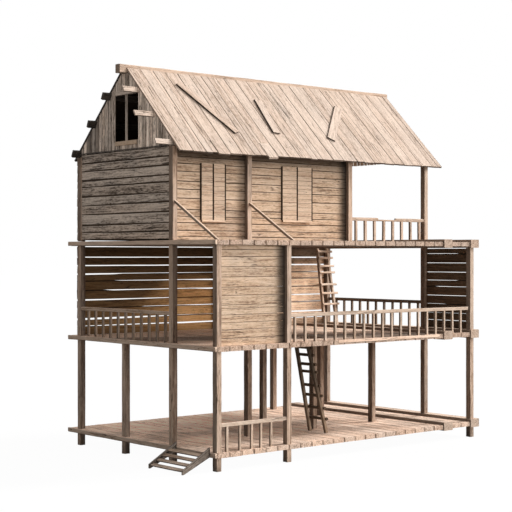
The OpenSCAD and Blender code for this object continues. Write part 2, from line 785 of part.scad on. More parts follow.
// Boards above and below the window, its upright, and the strip along the gable's foot
module gable_window_trim() place() color("gray") difference() {
    y0 = ridge_y - window_off;
    z0 = front_top + window_z;
    union() {
        translate([-trim_t, y0, z0 - trim_h]) cube([trim_t, window_w, trim_h]);
        translate([-trim_t, y0, z0 + window_h]) cube([trim_t, window_w, trim_h]);
        translate([0, y0 + (window_w - mullion_w) / 2, z0 + fit])
            cube([gable_t, mullion_w, window_h - 2 * fit]);
        translate([-strip_t, row_b + post, front_top])
            cube([strip_t, row_d - row_b - post, strip_h]);
    }
    run_x(-2 * max(trim_t, strip_t), gable_t)
        for (i = [0 : 2], side = [1, -1]) purlin_section(purlin_y(i, side), side, fit);
}

module right_gable() place() color("tan")
    gable(length + post - gable_t, front_top + right_gable_lift);

module ridge_beam() place() color("wheat")
    translate([-ridge_nose, ridge_side, ridge_top - ridge_h])
        cube([ridge_nose + ridge_right, ridge_w, ridge_h]);

module front_roof_slope() place() color("wheat") {
    roof_slope();
    translate([0, eave_y, eave_z]) rotate([pitch, 0, 0])
        for (b = long_boards)
            translate([b[0], -b[2], -roof_t]) cube([b[1], b[2] + joint_depth, roof_t]);
}
module rear_roof_slope() place() color("wheat")
    translate([0, 2 * ridge_y, 0]) mirror([0, 1, 0]) roof_slope();

module loose_roof_planks() place() color("wheat")
    translate([0, eave_y, eave_z]) rotate([pitch, 0, 0])
        for (p = loose_planks)
            translate([p[0], p[1], fit]) rotate(p[2]) cube([p[4], p[3], loose_t]);

foot_posts();
front_ground_posts();
second_ground_posts();
third_ground_posts();
rear_ground_posts();
lower_deck();
lower_deck_beams();
lower_front_railing();
stair_stringers();
stair_treads();
lower_ladder_stiles();
lower_ladder_rungs();
middle_deck();
middle_deck_beams();
middle_posts();
middle_front_wall();
middle_rear_wall();
middle_right_wall();
middle_left_railing();
middle_front_railing();
middle_right_railing();
upper_ladder_stiles();
upper_ladder_rungs();
upper_deck();
upper_deck_beams();
cabin_posts();
veranda_posts();
deck_braces();
cabin_front_wall();
cabin_left_wall();
cabin_rear_wall();
veranda_wall_front();
veranda_wall_rear();
veranda_wall_over_door();
shutters();
shutter_ledges();
veranda_railing();
front_purlins();
rear_purlins();
left_gable();
gable_window_trim();
right_gable();
ridge_beam();
front_roof_slope();
rear_roof_slope();
loose_roof_planks();
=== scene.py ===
# Looks of the stilted timber watchtower: every CAD node is stood for by timbers of weathered
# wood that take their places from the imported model, in metres.
import json
import math
import random

import bmesh
import bpy
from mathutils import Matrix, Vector, noise


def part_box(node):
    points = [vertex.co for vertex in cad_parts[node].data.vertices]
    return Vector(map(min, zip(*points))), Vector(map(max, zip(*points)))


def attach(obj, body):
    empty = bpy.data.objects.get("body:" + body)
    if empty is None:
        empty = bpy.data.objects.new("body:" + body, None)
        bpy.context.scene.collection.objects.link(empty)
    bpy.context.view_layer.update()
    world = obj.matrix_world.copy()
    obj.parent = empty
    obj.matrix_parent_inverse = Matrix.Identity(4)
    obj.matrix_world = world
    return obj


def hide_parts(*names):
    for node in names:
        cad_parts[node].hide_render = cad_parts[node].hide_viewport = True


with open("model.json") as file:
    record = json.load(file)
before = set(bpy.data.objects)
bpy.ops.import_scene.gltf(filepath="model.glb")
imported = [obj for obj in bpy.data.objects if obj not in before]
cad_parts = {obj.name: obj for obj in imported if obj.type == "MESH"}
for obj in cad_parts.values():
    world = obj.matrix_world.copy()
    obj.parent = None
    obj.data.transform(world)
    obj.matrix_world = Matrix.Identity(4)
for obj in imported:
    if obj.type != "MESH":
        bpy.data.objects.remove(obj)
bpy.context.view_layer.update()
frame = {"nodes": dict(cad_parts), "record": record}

X, Y, Z = Vector((1, 0, 0)), Vector((0, 1, 0)), Vector((0, 0, 1))


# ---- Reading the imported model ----

def solids(node):
    """The separate solids of a CAD node: for each its points and its faces' (normal, area)."""
    mesh = frame["nodes"][node].data
    found, points, index = {}, [], []
    for vertex in mesh.vertices:
        key = tuple(round(c * 5000) for c in vertex.co)
        if key not in found:
            found[key] = len(points)
            points.append(vertex.co.copy())
        index.append(found[key])
    parent = list(range(len(points)))

    def root(i):
        while parent[i] != i:
            parent[i] = parent[parent[i]]
            i = parent[i]
        return i

    for face in mesh.polygons:
        first = root(index[face.vertices[0]])
        for v in face.vertices[1:]:
            parent[root(index[v])] = first
    groups = {}
    for i, point in enumerate(points):
        groups.setdefault(root(i), ([], []))[0].append(point)
    for face in mesh.polygons:
        groups[root(index[face.vertices[0]])][1].append((face.normal.copy(), face.area))
    return sorted(groups.values(), key=lambda g: tuple(round(c, 3) for c in middle(g[0])))


def all_points(node):
    """The points of all solids of a CAD node."""
    return [p for points, _ in solids(node) for p in points]


def span(points, axis):
    """Lowest and highest place of the points along an axis."""
    places = [p.dot(axis) for p in points]
    return min(places), max(places)


def limits(points):
    """The spans of the points along X, Y and Z."""
    return [span(points, axis) for axis in (X, Y, Z)]


def middle(points):
    """Middle of the points' own box."""
    return Vector([(low + high) / 2 for low, high in limits(points)])


def clusters(values, reach, key=lambda value: value):
    """The values in order, grouped where neighbours are closer than the reach."""
    groups = []
    for value in sorted(values, key=key):
        if groups and key(value) - key(groups[-1][-1]) < reach:
            groups[-1].append(value)
        else:
            groups.append([value])
    return groups


def smooth(value, low, high):
    """0 below low, 1 above high, and a soft step between them."""
    share = min(1.0, max(0.0, (value - low) / (high - low)))
    return share * share * (3 - 2 * share)


def course(value, stops):
    """The height of a chain of straight runs between (place, height) stops."""
    for (a, low), (b, high) in zip(stops, stops[1:]):
        if value < b:
            return low + (high - low) * max(0.0, value - a) / (b - a)
    return stops[-1][1]


def straight(start, end):
    """A function of the share of a length, that runs evenly from start to end."""
    return lambda share: start + (end - start) * share


class Block:
    """Oriented box of a plank-like solid: centre, axes u, v, w and sizes, longest first."""

    def __init__(self, solid, along=None):
        points, faces = solid
        sums = []
        for normal, area in faces:
            for entry in sums:
                if abs(entry[0].dot(normal)) > 0.99:
                    entry[1] += area
                    break
            else:
                sums.append([normal, area])
        sums.sort(key=lambda e: -e[1])
        first = sums[0][0].normalized()
        second = next(e[0] for e in sums if abs(e[0].dot(first)) < 0.1)
        second = (second - first * second.dot(first)).normalized()
        sized = []
        for axis in (first, second, first.cross(second)):
            low, high = span(points, axis)
            sized.append((high - low, axis, (low + high) / 2))
        sized.sort(key=lambda s: -s[0])
        if along is not None:
            sized.sort(key=lambda s: -abs(s[1].dot(along)))
            sized[1:] = sorted(sized[1:], key=lambda s: -s[0])
        self.length, self.width, self.thick = (s[0] for s in sized)
        self.u, self.v, self.w = (tidy_axis(s[1]) for s in sized)
        self.centre = sum((s[1] * s[2] for s in sized), Vector())


def tidy_axis(axis):
    """The axis, turned so that its largest part is positive."""
    biggest = max(range(3), key=lambda i: abs(axis[i]))
    return axis if axis[biggest] > 0 else -axis


# ---- Worked timbers ----

# Points round a timber, and the usual distance between two such rings along it
RING = 8
STEP = 0.16


class Timbers:
    """Gathers the timbers of one piece, which stands for a CAD node, into one mesh."""

    def __init__(self, node, kind, seed):
        self.node, self.kind = node, kind
        self.random = random.Random(seed)
        self.seed = seed * 17.31
        self.points, self.faces, self.caps = [], [], []
        self.grain, self.rel, self.shade, self.dim = [], [], [], []
        self.count = 0

    def add(self, centre, u, v, w, length, width, thick, wave=0.003, edge=0.006, slant=0.006,
            bow=0.0, cuts=(None, None), tone=0.0, narrow=None, dim=1.0, step=STEP):
        """One timber along u, width along v, thickness along w, with uneven edges and ends.

        narrow takes two functions of the share of the length, for the upper and the lower
        edge; dim is a brightness, or a function that gives it at a point and at a place
        across the width, from -1 to 1.
        """
        draw = self.random
        self.count += 1
        seed = self.seed + self.count * 3.77
        rings = max(2, round(length / step))
        ends = [(draw.uniform(-slant, slant), draw.uniform(-slant, slant)) for _ in range(2)]
        tone += draw.uniform(-1, 1)
        hue = draw.uniform(0, 1)
        offset = Vector([draw.uniform(0, 40) for _ in range(3)])
        bow *= draw.uniform(-1, 1)
        base = len(self.points)

        def uneven(along, row):
            return noise.noise(Vector((along, seed, row)))

        for i in range(rings + 1):
            share = i / rings
            s = (share - 0.5) * length
            half_v = width / 2
            upper = half_v - wave * (1 + uneven(s * 1.7, 0.5))
            lower = half_v - wave * (1 + uneven(s * 1.7, 7.5))
            if narrow:
                upper -= narrow[0](share)
                lower -= narrow[1](share)
            half_w = thick / 2 - wave * 0.4 * (1 + uneven(s * 2.1, 13.5))
            chip = edge * (1 + 0.5 * uneven(s * 5.0, 23.5))
            chip = min(chip, half_w * 0.45, half_v * 0.45)
            shift = bow * 4 * share * (1 - share)
            outline = [(upper, half_w - chip), (upper - chip, half_w), (chip - lower, half_w),
                       (-lower, half_w - chip)]
            outline += [(a, -b) for a, b in reversed(outline)]
            end = 0 if i == 0 else 1 if i == rings else None
            for a, b in outline:
                along = s
                if end is not None:
                    along += ends[end][0] * a / half_v + ends[end][1] * b / half_w
                point = centre + u * along + v * (a + shift) + w * b
                if end is not None and cuts[end]:
                    spot, normal = cuts[end]
                    point += u * ((spot - point).dot(normal) / u.dot(normal))
                    along = (point - centre).dot(u)
                self.points.append(point)
                self.grain.append(Vector((along, a, b)) + offset)
                self.rel.append(Vector((s, a / half_v, b / half_w)))
                self.shade.append(Vector((tone, hue, length)))
                self.dim.append(dim(point, a / half_v) if callable(dim) else dim)
        last = len(self.points) - RING
        for i in range(base, last, RING):
            for k in range(RING):
                a, b = i + k, i + (k + 1) % RING
                self.faces.append((a, b, b + RING, a + RING))
        self.faces += [tuple(reversed(range(base, base + RING))),
                       tuple(range(last, last + RING))]
        self.caps += [0.0] * (rings * RING) + [1.0, 1.0]

    def block(self, b, **style):
        """One timber that fills a Block."""
        self.add(b.centre, b.u, b.v, b.w, b.length, b.width, b.thick, **style)

    def build(self, material, slot):
        """Puts the mesh into the scene."""
        mesh = bpy.data.meshes.new(f"{self.node}_{self.kind}")
        mesh.from_pydata(self.points, [], self.faces)
        describe(mesh, self.dim, grain=self.grain, rel=self.rel, shade=self.shade)
        mesh.attributes.new("cap", "FLOAT", "FACE").data.foreach_set("value", self.caps)
        mesh.materials.append(material)
        mesh.validate()
        face_outwards(mesh)
        place(mesh, slot, self.node)


def describe(mesh, dim, **vectors):
    """Writes what the materials read at each point: grain is the place in the timber's own
    wood, rel the place across it from -1 to 1, shade its tone and hue, dim a brightness that
    also carries painted light and shade."""
    for key, values in vectors.items():
        layer = mesh.attributes.new(key, "FLOAT_VECTOR", "POINT")
        layer.data.foreach_set("vector", [c for value in values for c in value])
    mesh.attributes.new("dim", "FLOAT", "POINT").data.foreach_set("value", dim)


def face_outwards(mesh):
    """Turns every face outwards."""
    work = bmesh.new()
    work.from_mesh(mesh)
    bmesh.ops.recalc_face_normals(work, faces=work.faces)
    work.to_mesh(mesh)
    work.free()


def enter(data):
    """Puts a mesh, lamp or camera into the scene, under its own name."""
    item = bpy.data.objects.new(data.name, data)
    bpy.context.scene.collection.objects.link(item)
    return item


def place(mesh, slot, node):
    """Puts a mesh into the scene, where it stands for the CAD node."""
    piece = enter(mesh)
    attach(piece, "root")
    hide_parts(node)


# ---- Materials ----

class Nodes:
    """Short hand for the node tree of a material or a world."""

    def __init__(self, name, library=bpy.data.materials):
        self.owner = library.new(name)
        self.owner.use_nodes = True
        self.tree = self.owner.node_tree
        self.tree.nodes.clear()

    def add(self, kind, inputs=(), **settings):
        """A node, with values for its inputs by their names or numbers."""
        node = self.tree.nodes.new(kind)
        for key, value in settings.items():
            setattr(node, key, value)
        for socket, value in dict(inputs).items():
            self.put(node.inputs[socket], value)
        return node

    def put(self, socket, value):
        """Links an output to an input, or sets the input; a colour is given its alpha."""
        if isinstance(value, bpy.types.NodeSocket):
            self.tree.links.new(value, socket)
            return
        if isinstance(value, tuple):
            value += (1.0,) * (len(socket.default_value) - len(value))
        socket.default_value = value

    def attribute(self, name):
        return self.add("ShaderNodeAttribute", attribute_name=name).outputs

    def parts(self, vector):
        return self.add("ShaderNodeSeparateXYZ", {0: vector}).outputs

    def math(self, operation, *values):
        return self.add("ShaderNodeMath", enumerate(values), operation=operation).outputs[0]

    def times(self, a, b):
        return self.math("MULTIPLY", a, b)

    def total(self, start, *pairs):
        """The start, and the products of (value, weight) pairs."""
        for value, weight in pairs:
            start = self.math("MULTIPLY_ADD", value, weight, start)
        return start

    def vector(self, operation, a, b):
        node = self.add("ShaderNodeVectorMath", {0: a, 1: b}, operation=operation)
        return node.outputs[0]

    def noise(self, place, along, across, detail, roughness, seed):
        """Noise as fine as one number along X, and as the other along Y and Z."""
        moved = self.vector("MULTIPLY", place, (along, across, across))
        moved = self.vector("ADD", moved, (seed, seed * 0.37, -seed))
        return self.add("ShaderNodeTexNoise", {"Vector": moved, "Scale": 1.0, "Detail": detail,
                                               "Roughness": roughness}).outputs[0]

    def step(self, value, low, high, out_low=0.0, out_high=1.0):
        """A soft step from out_low to out_high between two values."""
        values = enumerate((value, low, high, out_low, out_high))
        node = self.add("ShaderNodeMapRange", values, interpolation_type="SMOOTHSTEP")
        return node.outputs[0]

    def ramp(self, value, *stops):
        node = self.add("ShaderNodeValToRGB", {0: value})
        elements = node.color_ramp.elements
        while len(elements) < len(stops):
            elements.new(0.5)
        for element, (at, colour) in zip(elements, stops):
            element.position = at
            element.color = (*colour, 1)
        return node.outputs[0]

    def mix(self, share, a, b, blend="MIX"):
        """Two colours; a mix node keeps its sockets for colours after those for the rest."""
        node = self.add("ShaderNodeMix", data_type="RGBA", blend_type=blend)
        for number, value in ((0, share), (6, a), (7, b)):
            self.put(node.inputs[number], value)
        return node.outputs[2]

    def tint(self, colour, by):
        return self.mix(1.0, colour, by, "MULTIPLY")

    def grey(self, value):
        return self.add("ShaderNodeCombineColor", enumerate([value] * 3)).outputs[0]

    def shaders(self, share, a, b):
        pair = {0: share, 1: a.outputs[0], 2: b.outputs[0]}
        return self.add("ShaderNodeMixShader", pair)

    def seen(self, first, *others):
        """1 for light paths of any of these kinds, and 0 for the rest."""
        path = self.add("ShaderNodeLightPath").outputs
        found = path[first]
        for kind in others:
            found = self.math("MAXIMUM", found, path[kind])
        return found


# Painted shade on what faces right, towards the main lamp, so that it doesn't clip to white
RIGHT_PAINTED_SHADE = 0.8


def wood(name, pale, mid, dark, seed, cracks=1.0, knots=0.5, grey=(0.36, 0.32, 0.29),
         weather=0.2, spread=0.12, rims=0.45, rim_power=26.0, top_highlight=0.0, contrast=1.0,
         speckle=0.7, warmth=0.4, under=0.6, left=1.0, rear=None):
    """Weathered wood: fibres, streaks, checks and knots along each timber's own grain.

    rims darkens the long edges and top_highlight paints a highlight on the upper one.
    under and left paint shade and light on what faces down and to the left, and what faces
    the rear is tinted with rear's colour, which takes painted warm light off it.
    """
    n = Nodes(name)
    grain = n.attribute("grain")["Vector"]
    across = n.parts(n.attribute("rel")["Vector"])[1]
    shade = n.parts(n.attribute("shade")["Vector"])
    cap = n.attribute("cap")["Fac"]
    dim = n.attribute("dim")["Fac"]
    world = n.add("ShaderNodeTexCoord").outputs["Object"]
    deep = tuple(c * 0.34 for c in dark)

    # Knots bend the fibres that pass them
    cells = n.add("ShaderNodeTexVoronoi", {
        "Vector": n.vector("MULTIPLY", grain, (1.1, 4.6, 4.6)), "Scale": 1.0}).outputs
    chosen = n.add("ShaderNodeSeparateColor", {0: cells["Color"]}).outputs[0]
    has_knot = n.math("LESS_THAN", chosen, knots * 0.5)
    ring_in, knot = (n.times(n.step(cells["Distance"], *reach, 1.0, 0.0), has_knot)
                     for reach in ((0.0, 0.34), (0.05, 0.13)))
    drift = n.noise(grain, 0.8, 2.4, 2.0, 0.5, seed + 3.1)
    shift = n.times(n.math("SUBTRACT", drift, 0.5), 0.16)
    shift = n.total(shift, (ring_in, 0.05))
    lean = n.add("ShaderNodeCombineXYZ", {1: shift, 2: shift}).outputs[0]
    bent = n.vector("ADD", grain, lean)

    # From broad bands down to single fibres
    band = n.noise(bent, 0.45, 8.0, 2.0, 0.5, seed + 11.0)
    streak = n.noise(bent, 1.1, 26.0, 4.0, 0.62, seed + 23.0)
    fibre = n.noise(bent, 5.0, 150.0, 3.0, 0.6, seed + 31.0)
    mottle = n.noise(grain, 9.0, 30.0, 3.0, 0.6, seed + 41.0)
    blotch = n.noise(world, 0.9, 0.9, 4.0, 0.6, seed + 53.0)
    level = n.total(0.52, (shade[0], spread))
    for source, weight in ((band, 0.9 * contrast), (streak, 1.7 * contrast), (mottle, speckle)):
        level = n.total(level, (n.math("SUBTRACT", source, 0.5), weight))
    colour = n.ramp(level, (0.12, dark), (0.48, mid), (0.86, pale))
    warm = n.tint(colour, (1.06, 0.95, 0.86))
    colour = n.mix(n.times(shade[1], warmth), colour, warm)
    colour = n.mix(n.times(n.step(blotch, 0.46, 0.70), weather), colour, grey)
    colour = n.tint(colour, n.grey(n.step(fibre, 0.2, 0.8, 0.86, 1.12)))

    # Checks: thin dark lines where slow noise crosses its middle, broken up along the grain
    crossing = n.noise(bent, 0.55, 15.0, 2.0, 0.45, seed + 67.0)
    line = n.math("ABSOLUTE", n.math("SUBTRACT", crossing, 0.5))
    width = n.step(n.noise(grain, 0.9, 3.0, 2.0, 0.5, seed + 71.0), 0.44, 0.66, 0.0,
                   0.022 * cracks)
    soft = n.step(n.math("DIVIDE", line, n.math("MAXIMUM", width, 0.0005)), 0.2, 1.1, 1.0, 0.0)
    check = n.times(n.math("LESS_THAN", line, width), soft)
    colour = n.mix(n.times(check, 0.85), colour, deep)
    colour = n.mix(n.times(knot, 0.7), colour, tuple(c * 0.55 for c in dark))

    # A painted highlight on the upper edge; both long edges are darker in patches, and so is the
    # end grain
    painted_light = n.times(n.step(across, 0.55, 0.95), top_highlight)
    colour = n.mix(n.times(painted_light, n.step(mottle, 0.3, 0.55, 0.4, 1.0)), colour,
                   tuple(c * 1.1 for c in pale))
    side = n.math("POWER", n.math("ABSOLUTE", across), rim_power)
    broken = n.step(mottle, 0.35, 0.6, 0.35, 1.0)
    colour = n.mix(n.times(n.times(side, broken), rims), colour, deep)
    end = n.noise(grain, 40.0, 40.0, 3.0, 0.6, seed + 83.0)
    colour = n.mix(cap, colour, n.tint(colour, n.grey(n.step(end, 0.3, 0.7, 0.7, 1.0))))

    # Painted light and shade on faces by their direction, and dim, which carries painted light
    # and shade as well as tone, at each place
    facing = n.parts(n.add("ShaderNodeNewGeometry").outputs["True Normal"])
    if rear:
        colour = n.mix(n.step(facing[1], 0.4, 0.8), colour, n.tint(colour, rear))
    tone = n.times(dim, n.step(facing[2], -0.7, -0.3, under, 1.0))
    tone = n.times(tone, n.step(facing[0], -0.8, -0.4, left, 1.0))
    tone = n.times(tone, n.step(facing[0], 0.5, 0.9, 1.0, RIGHT_PAINTED_SHADE))
    colour = n.tint(colour, n.grey(tone))

    height = n.total(n.times(fibre, 0.35), (streak, 0.6), (check, -0.9), (knot, -0.25))
    bump = n.add("ShaderNodeBump", {"Strength": 0.5, "Distance": 0.006, "Height": height})
    shader = n.add("ShaderNodeBsdfPrincipled", {
        "Base Color": colour, "Roughness": n.step(streak, 0.2, 0.8, 0.90, 0.76),
        "Specular IOR Level": 0.22, "Normal": bump.outputs[0]})
    n.add("ShaderNodeOutputMaterial", {0: shader.outputs[0]})
    return n.owner


# Each wood: its pale, middle and dark tone, then the number that sets its noise apart
# In each wood, left and under are painted light and shade on faces that turn left and down
ROOF_TONES = (0.685, 0.565, 0.475), (0.545, 0.435, 0.36), (0.30, 0.22, 0.165)
ROOF_LOOK = {"knots": 0.25, "contrast": 0.75, "speckle": 1.1, "under": 0.3}
ROOF = wood("roof_wood", *ROOF_TONES, 1.0, cracks=1.3, spread=0.08, rims=0.9, rim_power=20.0,
            left=0.9, **ROOF_LOOK)
LOOSE = wood("loose_wood", *ROOF_TONES, 12.0, left=0.12, **ROOF_LOOK)
DECK = wood("deck_wood", (0.80, 0.63, 0.51), (0.67, 0.50, 0.395), (0.33, 0.215, 0.15), 2.0,
            cracks=1.3, knots=0.25, rims=0.9, rim_power=16.0, speckle=0.9, warmth=0.5,
            under=0.4, left=1.35)
BEAM = wood("beam_wood", (0.79, 0.63, 0.51), (0.65, 0.50, 0.395), (0.34, 0.23, 0.165), 3.0,
            knots=0.2, under=0.4, left=0.5)
POST = wood("post_wood", (0.69, 0.54, 0.43), (0.52, 0.385, 0.295), (0.26, 0.175, 0.125), 4.0,
            weather=0.3, contrast=1.2, left=0.42)
RAIL = wood("rail_wood", (0.76, 0.61, 0.50), (0.62, 0.48, 0.375), (0.32, 0.22, 0.155), 5.0,
            left=0.4)
WALL = wood("wall_wood", (0.74, 0.575, 0.435), (0.60, 0.44, 0.31), (0.29, 0.185, 0.12), 6.0,
            cracks=1.1, weather=0.25, spread=0.09, rims=0.9, rim_power=20.0, top_highlight=0.4,
            contrast=0.95, speckle=1.1, warmth=0.35)
SHUTTER = wood("shutter_wood", (0.74, 0.585, 0.45), (0.63, 0.475, 0.35), (0.39, 0.26, 0.18),
               7.0, weather=0.15, top_highlight=0.3, contrast=0.8, speckle=0.9, warmth=0.3, left=0.3)
GREY = wood("grey_wood", (0.66, 0.57, 0.495), (0.43, 0.36, 0.305), (0.09, 0.07, 0.055), 8.0,
            grey=(0.30, 0.275, 0.255), cracks=1.5, weather=0.3, spread=0.17, rims=0.9,
            rim_power=16.0, contrast=1.3, speckle=1.4, top_highlight=0.8, warmth=0.5)
# Its golden tone is painted warm light, which rear takes off the faces turned to the rear
PAINTED_WARM_LIGHT_WOOD = wood("painted_warm_light_wood", (0.89, 0.56, 0.27), (0.77, 0.45, 0.195), (0.41, 0.215, 0.09), 9.0,
            cracks=1.2, weather=0.05, under=0.5, rear=(0.80, 0.98, 1.55))
DARK = wood("dark_wood", (0.50, 0.35, 0.23), (0.36, 0.24, 0.15), (0.16, 0.10, 0.06), 10.0,
            weather=0.1, warmth=0.8, under=0.5)
LADDER = wood("ladder_wood", (0.52, 0.385, 0.27), (0.38, 0.265, 0.18), (0.18, 0.12, 0.08), 11.0,
              warmth=0.8, left=0.6)


# ---- Posts, beams, rungs and other single timbers ----

def plain(node, material, slot, seed, along=None, swell=0.0, level=False, **style):
    """Every solid of a node as one timber, thicker than the CAD's by swell, and cut level at
    the foot where asked."""
    gang = Timbers(node, "timber", seed)
    for solid in solids(node):
        b = Block(solid, along)
        b.width, b.thick = b.width + swell, b.thick + swell
        if level:
            style["cuts"] = (Vector((0, 0, span(solid[0], Z)[0])), Z), None
        gang.block(b, **style)
    gang.build(material, slot)


# How much thicker a post is than the CAD's
POST_SWELL = 0.016


def posts(node, seed, inner, ends):
    """Upright posts. Behind the front row they carry painted shade by inner, and at the left end
    painted light on their left faces only and painted shade by ends on the others."""
    gang = Timbers(node, "timber", seed)
    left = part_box("lower_deck")[0].x
    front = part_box("front_ground_posts")[1].y
    for points, _ in solids(node):
        (x0, x1), (y0, y1), (z0, z1) = limits(points)
        behind, at_end = y0 > front, x0 < left + 0.2
        tone = (ends if at_end else inner) if behind else 1.0
        painted_light = 1.9 if behind and at_end and ends < 1 else tone

        def dim(point, across):
            damp = 0.62 + 0.38 * smooth(point.z, 0.0, 0.35)
            return damp * (painted_light if across < -0.9 else tone)

        gang.add(middle(points), Z, X, Y, z1 - z0, x1 - x0 + POST_SWELL,
                 y1 - y0 + POST_SWELL, wave=0.004, edge=0.009, bow=0.004, slant=0.004, dim=dim)
    gang.build(POST, "post_timber")


# For each node, the painted shade of its posts behind the front row, and of those at the left end
for number, (node, inner, ends) in enumerate((
        ("front_ground_posts", 1.0, 1.0), ("second_ground_posts", 0.8, 0.5),
        ("third_ground_posts", 0.8, 0.45), ("rear_ground_posts", 0.8, 0.45),
        ("middle_posts", 0.75, 0.4), ("cabin_posts", 1.0, 1.0), ("veranda_posts", 1.0, 1.0),
        ("foot_posts", 0.75, 0.5))):
    posts(node, 100 + number, inner, ends)

BEAM_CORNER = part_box("lower_deck_beams")[0]


def left_end_painted_light(point, across):
    """The beams along the tower's left end carry painted light, but for their front ends, which
    are a little darker.
    """
    if point.x >= BEAM_CORNER.x + 0.4:
        return 1.0
    return 1.5 if point.y > BEAM_CORNER.y + 0.03 else 0.9


for number, node in enumerate(("lower_deck_beams", "middle_deck_beams", "upper_deck_beams")):
    plain(node, BEAM, "beam_timber", 110 + number, along=Y, wave=0.005, edge=0.012,
          dim=left_end_painted_light)
plain("ridge_beam", BEAM, "roof_timber", 120, along=X, wave=0.006, edge=0.015, bow=0.01)
plain("front_purlins", ROOF, "roof_timber", 121, along=X, wave=0.004, edge=0.008)
# The rear purlins are near-black with painted shade
plain("rear_purlins", GREY, "roof_timber", 122, along=X, swell=0.04, wave=0.004, dim=0.15)
plain("stair_treads", RAIL, "rail_timber", 123, along=Y, bow=0.008, dim=0.85)
plain("lower_ladder_rungs", LADDER, "ladder_timber", 124, along=Y, swell=0.022, dim=0.35)
plain("upper_ladder_rungs", RAIL, "ladder_timber", 125, along=X, swell=0.018, dim=1.3)
plain("shutter_ledges", SHUTTER, "shutter_timber", 126, along=X, swell=0.01, edge=0.005,
      dim=1.3)
plain("loose_roof_planks", LOOSE, "roof_timber", 127, edge=0.004, slant=0.01)


def darker_to_head(point, across):
    """The lower ladder is darker towards its head."""
    return 0.8 - 0.55 * smooth(point.z, 0.6, 2.4)


for node, material, seed, dim in (("lower_ladder_stiles", LADDER, 130, darker_to_head),
                                  ("upper_ladder_stiles", RAIL, 131, 1.15)):
    plain(node, material, "ladder_timber", seed, swell=0.018, level=True, edge=0.008, dim=dim)


def braces(node):
    """Struts, cut level at the foot and upright at the post."""
    gang = Timbers(node, "timber", 132)
    for points, _ in solids(node):
        bottom, rear = span(points, Z)[0], span(points, Y)[1]
        feet = [p for p in points if p.z < bottom + 0.001]
        foot, head = middle(feet), middle([p for p in points if p.y > rear - 0.001])
        x0, x1 = span(points, X)
        y0, y1 = span(feet, Y)
        along = (head - foot).normalized()
        gang.add((head + foot) / 2, along, X, along.cross(X), (head - foot).length, x1 - x0,
                 (y1 - y0) * abs(along.z), cuts=((foot, Z), (head, Y)))
    gang.build(RAIL, "rail_timber")


braces("deck_braces")


# ---- Decks ----

OPENINGS = {box["name"]: (Vector(box["box_m"][0]), Vector(box["box_m"][1]))
            for box in frame["record"]["physics"]["openings"]}
# How far round its opening a hatch's corners are looked for
HATCH_REACH = 0.25


def hatch_of(points, top, opening):
    """The hatch's rectangle, from the deck's own corners round the opening of that name."""
    low, high = OPENINGS[opening]
    near = [p for p in points if abs(p.z - top) < 0.003
            and all(low[i] - HATCH_REACH < p[i] < high[i] + HATCH_REACH for i in (0, 1))]
    return (*span(near, X), *span(near, Y)) if len(near) > 3 else None


MIDDLE_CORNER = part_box("middle_deck")[0]
LOWER_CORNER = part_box("lower_deck")[0]
# The height over its underside above which a deck gets its painted light and shade
DECK_TOP = 0.06


def middle_deck_light_and_shade(point, across):
    """The middle deck has painted light at its front and towards the rear right, and a painted
    shadow between.
    """
    depth = point.y - MIDDLE_CORNER.y + 0.45 * (point.x - MIDDLE_CORNER.x)
    if point.z < MIDDLE_CORNER.z + DECK_TOP:
        return 1.0
    painted_sun = 1.6 - 1.05 * smooth(depth, 2.3, 3.2)
    return painted_sun + 0.85 * smooth(depth, 4.6, 5.1)


def lower_deck_light_and_shade(point, across):
    """The lower deck has painted light, most where the storeys above shade it, and a patchy
    painted shadow band across it.
    """
    x, y = point.x - LOWER_CORNER.x, point.y - LOWER_CORNER.y
    if point.z < LOWER_CORNER.z + DECK_TOP:
        return 1.0
    painted_light = 1.2 + 0.55 * smooth(y, 1.2, 2.0) * (1 - 0.8 * smooth(x, 5.5, 8.0))
    shadow_band = smooth(y, 2.2, 3.0) * (1 - smooth(y + 0.25 * x, 4.6, 5.4))
    patch = 0.5 + 0.5 * noise.noise(Vector((x * 0.8, y * 1.6, 4.5)))
    return painted_light - 0.6 * shadow_band * smooth(patch, 0.3, 0.6)


# The width that a deck's planks come near, and the joint between them
DECK_BOARD, DECK_JOINT = 0.405, 0.022


